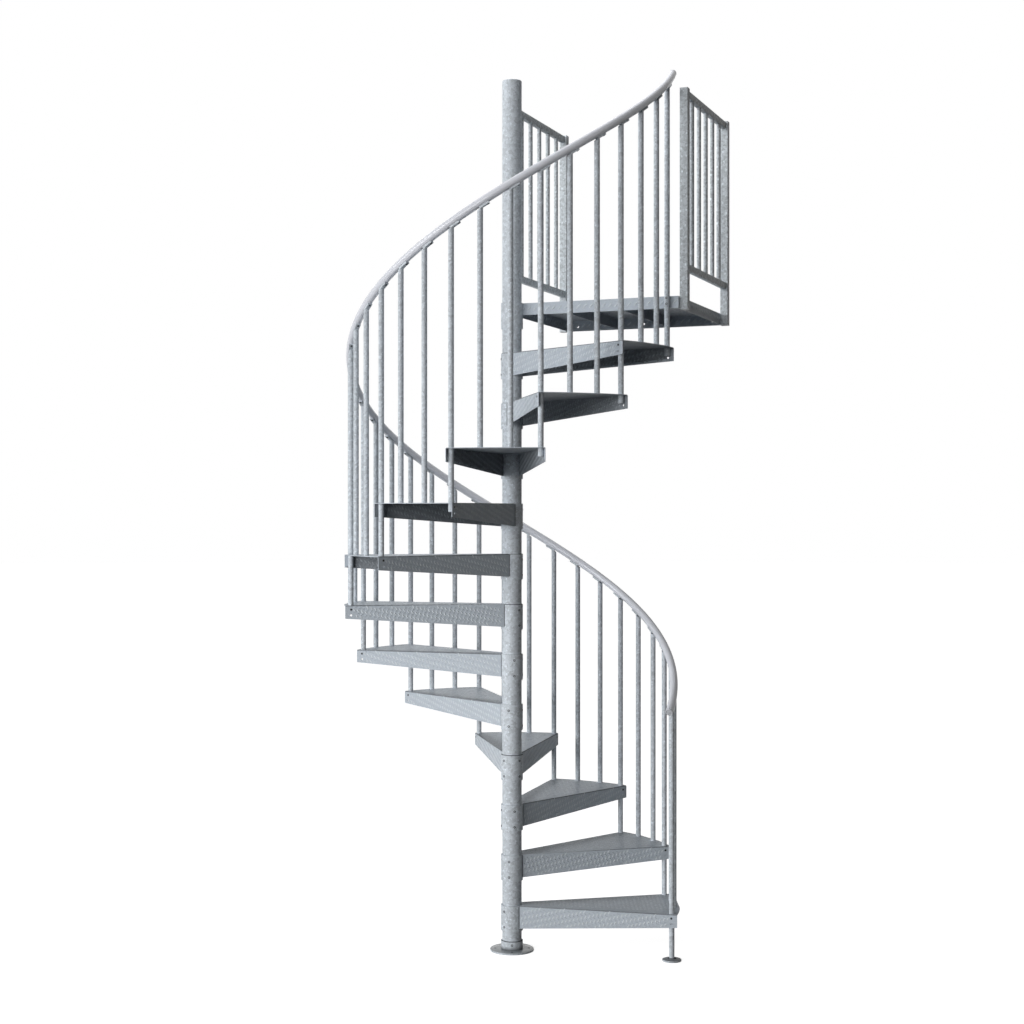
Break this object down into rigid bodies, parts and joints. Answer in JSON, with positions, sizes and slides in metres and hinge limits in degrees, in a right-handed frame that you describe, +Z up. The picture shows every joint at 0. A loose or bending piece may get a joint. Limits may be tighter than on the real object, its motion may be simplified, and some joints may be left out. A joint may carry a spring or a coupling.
{
  "type": "spiral staircase",
  "caption": "Galvanised steel spiral staircase with a central column, folded tread plates, round balusters, a pale plastic handrail and a guarded square landing.",
  "frame": {"origin": "column axis at floor level, on the underside of the base plate", "axes": "+Z up the column, +Y out of the landing's rear edge, +X along the landing's front edge"},
  "size_m": [1.584, 1.526, 3.9721],
  "materials": {
    "zinc_steel": "satin",
    "rail_plastic": "satin"
  },
  "bodies": {
    "root": {"column": "zinc_steel", "column_cap": "zinc_steel", "base_plate": "zinc_steel", "newel_foot": "zinc_steel", "tread_01": "zinc_steel", "tread_02": "zinc_steel", "tread_03": "zinc_steel", "tread_04": "zinc_steel", "tread_05": "zinc_steel", "tread_06": "zinc_steel", "tread_07": "zinc_steel", "tread_08": "zinc_steel", "tread_09": "zinc_steel", "tread_10": "zinc_steel", "tread_11": "zinc_steel", "tread_12": "zinc_steel", "landing": "zinc_steel", "landing_guard_left": "zinc_steel", "landing_guard_right": "zinc_steel", "balusters_01": "zinc_steel", "balusters_02": "zinc_steel", "balusters_03": "zinc_steel", "balusters_04": "zinc_steel", "balusters_05": "zinc_steel", "balusters_06": "zinc_steel", "balusters_07": "zinc_steel", "balusters_08": "zinc_steel", "balusters_09": "zinc_steel", "balusters_10": "zinc_steel", "balusters_11": "zinc_steel", "balusters_12": "zinc_steel", "last_baluster": "zinc_steel", "handrail": "rail_plastic", "handrail_end_caps": "rail_plastic", "handrail_clips": "zinc_steel"}
  },
  "joints": []
}
